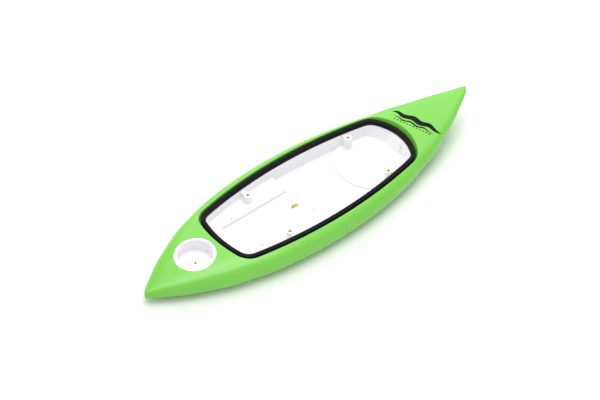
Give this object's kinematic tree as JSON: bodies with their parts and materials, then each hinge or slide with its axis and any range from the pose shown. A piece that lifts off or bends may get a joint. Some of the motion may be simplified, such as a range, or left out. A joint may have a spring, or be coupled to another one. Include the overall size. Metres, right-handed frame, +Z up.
{
  "type": "model canoe hull",
  "caption": "Decked model canoe hull, pointed at both ends, with a white cockpit tub, a rubber gasket, brass cover inserts, a drive tube and a round well in the stern deck",
  "frame": {"origin": "under the middle of the hull, on the flat that it stands on", "axes": "+X to the bow, +Y to port, +Z up"},
  "size_m": [0.5, 0.1492, 0.044],
  "materials": {
    "hull_paint": "bright green sprayed gloss over moulded plastic",
    "white_moulding": "white moulded plastic with a slight gloss",
    "gasket_rubber": "soft black rubber",
    "brass": "turned and drawn brass",
    "foam": "closed-cell white foam"
  },
  "bodies": {
    "root": {"bottom_hull": "hull_paint", "deck_shell": "hull_paint", "seam_strip_port": "white_moulding", "seam_strip_starboard": "white_moulding", "cockpit_tub": "white_moulding", "cockpit_gasket": "gasket_rubber", "stern_well": "white_moulding", "drive_tube": "brass", "insert_bow_port": "brass", "insert_bow_starboard": "brass", "insert_stern_port": "brass", "insert_stern_starboard": "brass", "bow_foam": "foam", "stern_foam": "foam"}
  },
  "joints": []
}
